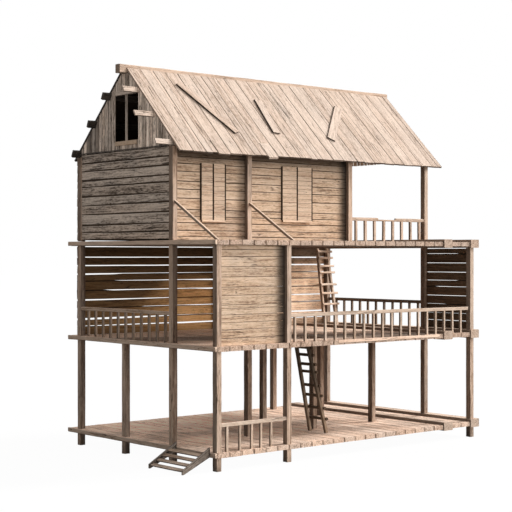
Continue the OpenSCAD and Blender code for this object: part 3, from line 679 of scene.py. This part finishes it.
def deck(node, seed, opening=None, dim=1.0, nosing=None, nose_tone=1.0):
    """Planks laid from front to back; those that a hatch interrupts are cut round it. Their
    front ends have a tone of their own, and a thin board covers those between the nosing's
    two distances from the deck's left end."""
    gang = Timbers(node, "planks", seed)
    left_x, front_y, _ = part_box(node)[0]

    def tone(point, across):
        if point.y < front_y + 0.03:
            return nose_tone
        return dim(point, across) if callable(dim) else dim

    for points, _ in solids(node):
        (x0, x1), (y0, y1), (z0, z1) = limits(points)
        hatch = hatch_of(points, z1, opening) if opening else None
        boards = max(1, round((x1 - x0) / DECK_BOARD))
        pitch = (x1 - x0) / boards
        for i in range(boards):
            a, b = x0 + i * pitch, x0 + (i + 1) * pitch
            fields = [(a, b, y0, y1)]
            if hatch and a < hatch[1] and b > hatch[0]:
                fields = [(a, b, y0, hatch[2]), (a, b, hatch[3], y1),
                          (a, hatch[0], *hatch[2:]), (hatch[1], b, *hatch[2:])]
            drop = gang.random.uniform(0, 0.006)
            nose = gang.random.uniform(-0.006, 0.006)
            for fx0, fx1, fy0, fy1 in fields:
                front = nose if fy0 == y0 else 0.0
                if fx1 - fx0 < DECK_JOINT:
                    continue
                centre = Vector(((fx0 + fx1) / 2, (fy0 + fy1 + front) / 2, (z0 + z1) / 2 - drop))
                gang.add(centre, Y, X, Z, fy1 - fy0 - front, fx1 - fx0 - DECK_JOINT, z1 - z0,
                         edge=0.007, slant=0.003, dim=tone)
    if nosing:
        x0, x1 = (left_x + reach for reach in nosing)
        centre = Vector(((x0 + x1) / 2, front_y - 0.008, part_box(node)[1].z - 0.045))
        gang.add(centre, X, Z, Y, x1 - x0, 0.085, 0.02, edge=0.004, dim=1.2)
    gang.build(DECK, "deck_timber")


deck("lower_deck", 140, dim=lower_deck_light_and_shade, nose_tone=1.25)
deck("middle_deck", 141, "lower_hatch", middle_deck_light_and_shade, (4.25, 8.35))
deck("upper_deck", 142, "upper_hatch")


# ---- Walls ----

# Shares of a wall's thickness that its boards and the lining behind them take
BOARD_SHARE, LINING_SHARE = 0.62, 0.25
LINING = {"wave": 0.001, "edge": 0.002, "slant": 0.001}


def boarded(gang, start, along, out, length, thick, edges, gap, lean=0.004, taper=0.0,
            proud=0.0, **style):
    """Boards between heights one above the other; start is on their outer face. Each is
    tilted by up to lean, set back by up to proud and narrower at its corners by taper."""
    for low, high in zip(edges, edges[1:]):
        tilt = gang.random.uniform(-lean, lean)
        sink = gang.random.uniform(0, proud)
        a, b, c, d = (gang.random.uniform(0, taper) for _ in range(4))
        centre = start + along * (length / 2) + Z * ((low + high) / 2) \
            - out * (thick / 2 + sink)
        u = (along + Z * (tilt / max(length, 0.5))).normalized()
        up = (Z - u * u.z).normalized()
        gang.add(centre, u, up, out, length, high - low - gap, thick, edge=0.004,
                 narrow=(straight(a, b), straight(c, d)), **style)


def wall(node, along, out, material, slot, seed, gap=0.004, **style):
    """A slab of wall as horizontal boards, before a near-black lining that closes their seams
    with painted shade.
    """
    gang = Timbers(node, "boards", seed)
    back = Timbers(node, "lining", seed + 50)
    for points, _ in solids(node):
        a0, a1 = span(points, along)
        z0, z1 = span(points, Z)
        o0, o1 = span(points, out)
        # The CAD's seams are cut into the slab, so they have points inside its thickness
        inner = [p.z for p in points if o0 + 0.004 < p.dot(out) < o1 - 0.004]
        seams = [(group[0] + group[-1]) / 2 for group in clusters(inner, 0.009)]
        edges = [z0] + [z for z in seams if z0 + 0.03 < z < z1 - 0.03] + [z1]
        thick = (o1 - o0) * BOARD_SHARE
        boarded(gang, along * a0 + out * o1, along, out, a1 - a0, thick, edges, gap, **style)
        lining = (o1 - o0) * LINING_SHARE
        centre = along * ((a0 + a1) / 2) + Z * ((z0 + z1) / 2) + out * (o0 + lining / 2)
        back.add(centre, along, Z, out, a1 - a0, z1 - z0 - 0.01, lining, dim=0.12, **LINING)
    gang.build(material, slot)
    back.build(DARK, slot)


def painted_shadow_left_of(places):
    """Painted shadow on a wall, cast to the left of each (place along it, darkest tone)."""
    def dim(point, across):
        tone = 1.0
        for place_x, least in places:
            away = place_x - point.x
            if away > -0.05:
                tone = min(tone, least + (1 - least) * smooth(away, 0.08, 0.42))
        return tone
    return dim


CABIN_END, _, CABIN_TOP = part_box("cabin_front_wall")[1]
CABIN_POSTS = sorted({round(span(points, X)[0], 2) for points, _ in solids("cabin_posts")})
# Metres under the top of the cabin's front, and the tone of the eave's painted shadow there
EAVE_PAINTED_SHADOW = ((0.0, 0.08), (0.2, 0.1), (0.32, 0.6), (0.5, 0.88), (0.65, 1.0))
post_painted_shadow = painted_shadow_left_of([(CABIN_POSTS[-1], 0.1), (CABIN_END, 0.1)]
                        + [(x, 0.4) for x in CABIN_POSTS[1:-1]])


def cabin_painted_shade(point, across):
    """Painted shadow on the cabin's front, left of its posts and under the eave."""
    return post_painted_shadow(point, across) * course(CABIN_TOP - point.z, EAVE_PAINTED_SHADOW)


wall("cabin_front_wall", X, -Y, WALL, "wall_timber", 150, gap=0.007, taper=0.006,
     proud=0.003, step=0.08, dim=cabin_painted_shade)
wall("cabin_left_wall", Y, -X, GREY, "grey_timber", 151, gap=0.010, lean=0.02, wave=0.008,
     taper=0.014, proud=0.004)
wall("cabin_rear_wall", X, Y, GREY, "grey_timber", 152, gap=0.006, lean=0.01, wave=0.005,
     taper=0.01, proud=0.004)
for number, node in enumerate(("veranda_wall_front", "veranda_wall_rear",
                               "veranda_wall_over_door")):
    wall(node, Y, X, WALL, "wall_timber", 153 + number, taper=0.004, proud=0.003)


def slatted(node, along, material, slot, seed, close, beyond=None, butt=1.0, **style):
    """Spaced boards, one for each CAD solid; close says how much of its gap above a board
    fills at a share of the length, the boards counted from the top. Where they butt at a
    share of the length, those beyond it have a material of their own."""
    gang = Timbers(node, "boards", seed)
    far = Timbers(node, "far_boards", seed + 40)
    found = sorted((Block(solid, along) for solid in solids(node)), key=lambda b: -b.centre.z)
    for number, b in enumerate(found):
        above = found[number - 1] if number else None
        gap = (above.centre.z - above.width / 2 - b.centre.z - b.width / 2) if above else 0.0
        up = b.v if b.v.z > 0 else -b.v
        for made, first, last in ((gang, 0.0, butt), (far, butt, 1.0)):
            if first == last:
                continue

            def grow(s):
                return -(gap + 0.009) * close(number, first + (last - first) * s)

            centre = b.centre + b.u * (b.length * ((first + last) / 2 - 0.5))
            made.add(centre, b.u, up, b.w, b.length * (last - first) - 0.002, b.width,
                     b.thick, edge=0.005, narrow=(grow, lambda s: 0.0), **style)
    gang.build(material, slot)
    if beyond:
        far.build(beyond, slot)


# How open each gap of the rear wall is, counted from the top: (metres from the wall's left
# end, open share) where that changes
REAR_GAPS = (
    ((0, 0),),
    ((0, 0.7), (3.5, 0.6), (5.4, 0.6), (8.2, 1)),
    ((0, 0.75), (5.4, 0.7), (8.2, 1)),
    ((0, 1.15), (1.2, 0.9), (1.6, 0.4), (5.4, 0.3), (8.2, 0.15), (9.0, 0.1), (9.4, 0.5)),
    ((0, 0), (1.2, 0), (1.5, 0.4), (3.2, 0.55), (3.8, 0.4), (5.3, 1.1), (8.2, 0.1)),
    ((0, 0), (0.9, 0), (1.2, 0.7), (3.8, 0.5), (4.2, 0.4), (4.8, 1.0), (8.2, 0.1)),
    ((0, 1), (1.2, 0.9), (3.3, 0.5), (3.6, 0), (8.2, 0), (8.4, 0.9)),
    ((0, 0), (2.2, 0), (2.4, 0.35), (3.8, 0.3), (4.4, 0.6), (8.2, 0.1), (9.2, 0.35)),
    ((0, 1.5), (2.2, 1.1), (3.3, 0.6), (3.7, 0.2), (5.4, 0.2), (8.2, 1.3)),
    ((0, 0.3), (0.8, 0.6), (3.3, 0.8), (3.8, 1.2), (8.2, 0.7)))


def rear_gap(number, share):
    """The closed share of a gap in the rear wall."""
    stops = REAR_GAPS[min(number, len(REAR_GAPS) - 1)]
    return 1 - course(share * (REAR[1].x - REAR[0].x), stops)


def front_gap(number, share):
    """Closed but for the ends of two gaps at the right."""
    return 0.0 if share > 0.88 and number in (5, 9) else 0.55


# For each gap of the right end's wall, from the top: the shares of its length between which
# it is open, and how open it is there
END_GAPS = ((0, 0, 0), (0.3, 1, 0.4), (0, 1, 0.55), (0, 1, 0.55), (0.3, 1, 0.45),
            (0, 0.7, 0.45), (0, 1, 0.5), (0.6, 1, 0.3), (0, 1, 0.3), (0, 1, 0.5), (0.4, 1, 0.3))


def end_gap(number, share):
    """The closed share of a gap in the right end's wall."""
    first, last, most = END_GAPS[min(number, len(END_GAPS) - 1)]
    return 1 - most * smooth(share, first - 0.05, first) * (1 - smooth(share, last, last + 0.05))


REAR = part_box("middle_rear_wall")
# Heights under the wall's top at which the ceiling's painted shade ends, and the tones of the
# painted shade above and the painted light below it, at places from the wall's left end
SHADE_EDGE = ((0, 2.3), (1.9, 1.9), (3.4, 1.0), (3.6, 1.1), (8.2, 1.1), (8.4, 0.45))
SHADED_TONE = ((0, 0.24), (6.8, 0.2), (7.0, 0.5))
LIT_TONE = ((0, 0.27), (2.2, 0.5), (3.4, 0.85), (3.8, 1.15), (6.8, 1.2), (7.0, 1.6))


def rear_light(point, across):
    """Painted shade under the middle storey's ceiling, deepest at the left, painted light below
    it, and painted shade along its floor.
    """
    x, below = point.x - REAR[0].x, REAR[1].z - point.z
    edge = course(x, SHADE_EDGE)
    share = smooth(below, edge - 0.35, edge + 0.15)
    tone = course(x, SHADED_TONE) * (1 - share) + course(x, LIT_TONE) * share
    head = 0.62 + 0.38 * smooth(below, 0.15, 0.7)
    foot = 0.45 + 0.55 * smooth(point.z - REAR[0].z, 0.14, 0.28)
    return tone * head * foot


slatted("middle_rear_wall", X, PAINTED_WARM_LIGHT_WOOD, "wall_timber", 160, rear_gap, WALL, 0.69,
        dim=rear_light)
# The right end's wall is near-black with painted shade
slatted("middle_right_wall", Y, DARK, "dark_timber", 161, end_gap, dim=0.3)
# Painted shadow on the middle front wall, left of the post at its right end
slatted("middle_front_wall", X, WALL, "wall_timber", 162, front_gap, step=0.08,
        dim=painted_shadow_left_of([(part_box("middle_front_wall")[1].x, 0.1)]))


LEAF_BOARDS = 12


def leaves(node):
    """Shutter leaves of narrow boards, before a near-black reveal round each pair that paints the
    shadow round them.
    """
    gang = Timbers(node, "boards", 163)
    dark = Timbers(node, "shadow_reveals", 164)
    found = [limits(points) for points, _ in solids(node)]
    for (x0, x1), (y0, y1), (z0, z1) in found:
        heights = [1 + gang.random.uniform(-0.15, 0.15) for _ in range(LEAF_BOARDS)]
        edges = [z0 + (z1 - z0) * sum(heights[:i]) / sum(heights)
                 for i in range(LEAF_BOARDS + 1)]
        boarded(gang, X * x0 + Y * y0, X, -Y, x1 - x0, y1 - y0, edges, 0.003, wave=0.001,
                lean=0.0, slant=0.001)
    found.sort()
    for left, right in zip(found[::2], found[1::2]):
        x0, x1 = left[0][0] - 0.03, right[0][1] + 0.075
        (_, y1), (z0, z1) = left[1:]
        dark.add(Vector(((x0 + x1) / 2, y1 - 0.005, (z0 + z1) / 2)), X, Z, Y, x1 - x0,
                 z1 - z0 - 0.01, 0.010, dim=0.1, **LINING)
    gang.build(SHUTTER, "shutter_timber")
    dark.build(DARK, "shutter_timber")


leaves("shutters")


# ---- Railings ----

# A baluster's foot is at least this far under the handrail, and its points are this close
FEET_BELOW, BALUSTER_REACH = 0.3, 0.09


def railing(node, along, seed, dim=1.0, stout=1.18):
    """The balusters of a CAD railing, found by their feet. Gives the levels of its handrail
    and a function that adds a layer of it between two levels."""
    gang = Timbers(node, "timber", seed)
    across = Y if along == X else X
    points = all_points(node)
    levels = [group[-1] for group in clusters([p.z for p in points], 0.004)]
    # A handrail of two layers has three levels close together
    levels = levels[-3:] if levels[-1] - levels[-3] < 0.12 else levels[-2:]
    a0, a1 = span(points, along)
    c0, c1 = span(points, across)
    feet = [p for p in points if p.z < levels[0] - FEET_BELOW]
    for group in clusters(feet, BALUSTER_REACH, lambda p: p.dot(along)):
        g0, g1 = span(group, along)
        bottom = min(p.z for p in group)
        top = (levels[0] + levels[1]) / 2
        tilt = gang.random.uniform(-0.008, 0.008)
        foot = along * ((g0 + g1) / 2) + across * ((c0 + c1) / 2) + Z * bottom
        head = foot + Z * (top - bottom) + along * tilt
        u = (head - foot).normalized()
        gang.add((foot + head) / 2, u, along, along.cross(u).normalized(), top - bottom,
                 (g1 - g0) * gang.random.uniform(stout - 0.1, stout + 0.1),
                 (c1 - c0) * gang.random.uniform(1.0, 1.12), wave=0.001, edge=0.005, dim=dim)

    def layer(low, high, start=a0, end=a1, **style):
        centre = along * ((start + end) / 2) + across * ((c0 + c1) / 2) + Z * ((low + high) / 2)
        gang.add(centre, along, Z, across, end - start, high - low + 0.012, c1 - c0 + 0.012,
                 wave=0.002, edge=0.008, **style)

    return gang, levels, layer


for number, (node, along, dim, rail_dim) in enumerate((
        ("lower_front_railing", X, 1.0, 1.0), ("middle_left_railing", Y, 0.8, 1.9),
        ("middle_front_railing", X, 1.0, 1.0), ("middle_right_railing", Y, 0.5, 0.5))):
    gang, levels, layer = railing(node, along, 170 + number, dim)
    layer(*levels[:2], bow=0.006, dim=rail_dim)
    gang.build(RAIL, "rail_timber")

# The veranda's handrail has two layers, and the upper one has lost its middle
gang, levels, layer = railing("veranda_railing", X, 175, stout=1.5)
layer(*levels[:2])
ends = sorted({round(p.x, 3) for p in all_points("veranda_railing")
               if p.z > levels[2] - 0.002})
for start, end in (ends[:2], ends[2:]):
    layer(*levels[1:], start, end, slant=0.02)
gang.build(RAIL, "rail_timber")


# ---- Roof ----

# The width of a board with its joint
ROOF_BOARD = 0.4252
# Boards that have split along their length, and where across them
SPLITS = ((0, 0.2), (1, 0.74), (2, 0.54), (5, 0.36), (6, 0.56), (7, 0.27), (11, 0.54),
          (15, 0.33), (17, 0.57), (19, 0.45), (21, 0.8), (23, 0.6))


def slope(node, side, seed):
    """Boards laid up the slope, each a little turned and of its own length. The side is 1 at
    the front and -1 at the rear."""
    gang = Timbers(node, "boards", seed)
    back = Timbers(node, "lining", seed + 50)
    points = all_points(node)
    x0, x1 = span(points, X)
    rake = [p for p in points if p.x < x0 + 0.002]
    eave, ridge = (Vector((0, y, max(p.z for p in rake if abs(p.y - y) < 0.002)))
                   for y in span(rake, Y)[::side])
    up = ridge - eave
    length = up.length
    up.normalize()
    out = (X.cross(up) * side).normalized()
    thick = 0.05

    # The boards' edges, a width apart, and the splits between them
    count = round((x1 - x0) / ROOF_BOARD)
    lead = x0 + 0.03
    edges = [x0] + [lead + i * ROOF_BOARD for i in range(1, count)] + [x1]
    splits = [edges[i] + share * ROOF_BOARD for i, share in SPLITS]
    edges = sorted(edges + splits)
    if side < 0:
        # A near-black board under the rear verge, with painted shade
        verge = eave + X * (x0 + 0.02) + up * (length / 2) - out * 0.035
        gang.add(verge, up, X, out, length, 0.06, 0.07, wave=0.002, dim=0.1)
    for a, b in zip(edges, edges[1:]):
        joint = 0.005 if a in splits or b in splits else 0.009
        drop = gang.random.uniform(0, 0.010)
        over = gang.random.uniform(-0.014, 0.014)
        turn = gang.random.uniform(-0.002, 0.002)
        u = (up + X * turn).normalized()
        v = out.cross(u).normalized()
        centre = eave + X * ((a + b) / 2) + up * ((length + over) / 2) \
            - out * (thick / 2 + drop)
        gang.add(centre, u, v, out, length - over, b - a - joint, thick, wave=0.0015,
                 edge=0.004)

    # Short boards that hang lower than the eave
    hanging = [p for p in points if (eave.y - p.y) * side > 0.01]
    for group in clusters([p.x for p in hanging], 0.5):
        low, high = group[0], group[-1]
        reach = max((eave.y - p.y) * side for p in hanging if low <= p.x <= high)
        hang = reach / up.y * side
        centre = eave + X * ((low + high) / 2) + up * (0.25 - hang / 2) \
            - out * (thick / 2 - 0.006)
        gang.add(centre, up, X, out, 0.5 + hang, high - low - 0.006, thick, wave=0.0015,
                 edge=0.004, slant=0.012)
    # A near-black lining under the boards closes their joints with painted shade
    centre = eave + X * ((x0 + x1) / 2) + up * (length / 2) - out * (thick + 0.018)
    back.add(centre, up, X, out, length - 0.06, x1 - x0 - 0.08, 0.012, dim=0.15, **LINING)
    gang.build(ROOF, "roof_timber")
    back.build(DARK, "roof_timber")


slope("front_roof_slope", 1, 180)
slope("rear_roof_slope", -1, 181)


# ---- Gables ----

def gable(node, material, slot, seed, window=None):
    """Upright boards under the roof, cut along both slopes and round the window."""
    gang = Timbers(node, "boards", seed)
    points = all_points(node)
    (x0, x1), (y0, y1), (z0, z1) = limits(points)
    ridge = middle(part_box("ridge_beam")).y
    shoulder = span([p for p in points if p.z > z1 - 0.002], Y)
    y = y0
    while y < y1 - 0.01:
        width = gang.random.uniform(0.10, 0.19)
        if y1 - y - width < 0.08:
            width = y1 - y
        mid = y + width / 2
        side = 1 if mid < ridge else -1
        edge = Vector((0, shoulder[::side][0], z1))
        normal = Vector((0, -side, 1)).normalized()
        top = z1 if shoulder[0] < mid < shoulder[1] else z1 - abs(mid - edge.y)
        cut = (edge, normal) if top < z1 else (Vector((0, 0, z1)), Z)
        spans = [(z0, top, cut)]
        if window and window[0] < mid < window[1]:
            spans = [(z0, window[2], None)]
            if top > window[3] + 0.02:
                spans.append((window[3], top, cut))
        dim = gang.random.choice((0.5, 0.85, 1.1, 1.3, 1.5, 1.9)) if window else 1.0
        for low, high, end in spans:
            if high - low < 0.03:
                continue
            gang.add(Vector(((x0 + x1) / 2, mid, (low + high) / 2)), Z, Y, X, high - low,
                     width - 0.018, x1 - x0 - gang.random.uniform(0, 0.012), edge=0.004,
                     cuts=(None, end), dim=dim)
        y += width
    gang.build(material, slot)


FRONT_HALF, REAR_HALF = (OPENINGS["gable_window_" + half] for half in ("front_half", "rear_half"))
WINDOW = (FRONT_HALF[0].y - 0.01, REAR_HALF[1].y + 0.01, FRONT_HALF[0].z - 0.01,
          FRONT_HALF[1].z + 0.025)
gable("left_gable", GREY, "grey_timber", 190, WINDOW)
gable("right_gable", WALL, "wall_timber", 191)

GABLE_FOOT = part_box("left_gable")[0].z


def strip_light_and_shadow(point, across):
    """The strip along the gable's foot has a painted highlight above and a black painted shadow
    below.
    """
    return 1.4 if point.z > GABLE_FOOT + 0.045 else 0.15


def window_trim(node):
    """Mullion and boards round the window, and the strip along the gable's foot with its painted
    highlight and shadow.
    """
    grey, brown = Timbers(node, "timber", 192), Timbers(node, "sill", 193)
    for b in map(Block, solids(node)):
        if b.length > 2:
            grey.block(b, wave=0.002, edge=0.004, tone=2.0, dim=strip_light_and_shadow)
        elif abs(b.u.z) > 0.9:
            grey.block(b, dim=0.9)
        elif b.centre.z < WINDOW[2]:
            brown.block(b, dim=0.8)
        else:
            grey.block(b)
    grey.build(GREY, "grey_timber")
    brown.build(WALL, "grey_timber")


window_trim("gable_window_trim")


def dressed(node, material, slot, along, across, out):
    """A CAD solid that isn't a plain block, with its edges broken."""
    work = bmesh.new()
    work.from_mesh(frame["nodes"][node].data)
    bmesh.ops.remove_doubles(work, verts=work.verts, dist=0.0005)
    bmesh.ops.dissolve_limit(work, angle_limit=0.02, verts=work.verts, edges=work.edges)
    bmesh.ops.bevel(work, geom=list(work.edges), offset=0.006, segments=1, affect="EDGES",
                    clamp_overlap=True)
    mesh = bpy.data.meshes.new(node + "_timber")
    work.to_mesh(mesh)
    work.free()
    spots = [v.co for v in mesh.vertices]
    low, high = span(spots, across)
    describe(mesh, [0.5] * len(spots),
             grain=[(p.dot(along), p.dot(across), p.dot(out)) for p in spots],
             rel=[(0, 2 * (p.dot(across) - low) / (high - low) - 1, 0) for p in spots],
             shade=[(0, 0.5, 1)] * len(spots))
    mesh.materials.append(material)
    place(mesh, slot, node)


rise = Vector((0.88, 0, 0.47)).normalized()
dressed("stair_stringers", GREY, "grey_timber", rise, rise.cross(Y), Y)


# ---- Floor, light and camera ----

WHITE = (1.0, 1.0, 1.0)
# Half the length of the floor's sides
FLOOR_HALF = 300.0


def floor():
    """White to the camera, but for a faint shadow; to the object a dull ground."""
    n = Nodes("studio_floor")
    seen = n.seen("Is Camera Ray", "Is Glossy Ray", "Is Transmission Ray")
    dull = n.add("ShaderNodeBsdfDiffuse", {"Color": (0.33, 0.31, 0.29)})
    pale = n.add("ShaderNodeBsdfDiffuse", {"Color": (0.86, 0.86, 0.86)})
    glow = n.add("ShaderNodeEmission", {"Color": WHITE, "Strength": 1.0})
    both = n.shaders(seen, dull, n.shaders(0.97, pale, glow))
    n.add("ShaderNodeOutputMaterial", {0: both.outputs[0]})
    mesh = bpy.data.meshes.new("studio_floor")
    corners = [(x * FLOOR_HALF, y * FLOOR_HALF, 0)
               for x, y in ((-1, -1), (1, -1), (1, 1), (-1, 1))]
    mesh.from_pydata(corners, [], [(0, 1, 2, 3)])
    mesh.materials.append(n.owner)
    enter(mesh)


# The side on which the sky is brightest, and the strengths of its dull and its bright side
SKY_SIDE = (0.92, -0.31, 0.25)
SKY_DULL, SKY_BRIGHT = 0.37, 0.82


def sky():
    """White to the camera; to the object a soft sky that is brighter on the sun's side."""
    n = Nodes("studio_sky", bpy.data.worlds)
    bpy.context.scene.world = n.owner
    outwards = n.add("ShaderNodeTexCoord").outputs["Generated"]
    towards = n.add("ShaderNodeVectorMath", {0: outwards, 1: SKY_SIDE},
                    operation="DOT_PRODUCT").outputs["Value"]
    level = n.step(towards, -0.6, 1.0, SKY_DULL, SKY_BRIGHT)
    light = n.add("ShaderNodeBackground", {"Color": (1.0, 0.975, 0.95), "Strength": level})
    white = n.add("ShaderNodeBackground", {"Color": WHITE, "Strength": 1.0})
    both = n.shaders(n.seen("Is Camera Ray", "Is Glossy Ray"), light, white)
    n.add("ShaderNodeOutputWorld", {0: both.outputs[0]})


def lamp(name, towards, strength, angle):
    """A far lamp that shines along a direction and is as wide as the angle, in degrees."""
    light = bpy.data.lights.new(name, "SUN")
    light.energy = strength
    light.angle = math.radians(angle)
    light.color = (1.0, 0.985, 0.965)
    enter(light).rotation_euler = Vector(towards).to_track_quat("-Z", "Y").to_euler()


floor()
sky()
lamp("studio_key", (-2.3, 0.6, -1.45), 4.3, 14)
lamp("studio_fill", (-0.6, 1.0, -0.25), 0.9, 20)

# The photo's camera, worked out from the tower's own right angles
lens = bpy.data.cameras.new("camera")
lens.lens = 92.33
lens.sensor_width = 36.0
lens.clip_end = 1000.0
camera = enter(lens)
camera.location = (-25.458, -28.938, 5.425)
camera.rotation_euler = (math.radians(90), 0, math.radians(-40.79))
bpy.context.scene.camera = camera
bpy.context.scene.view_settings.view_transform = "Standard"
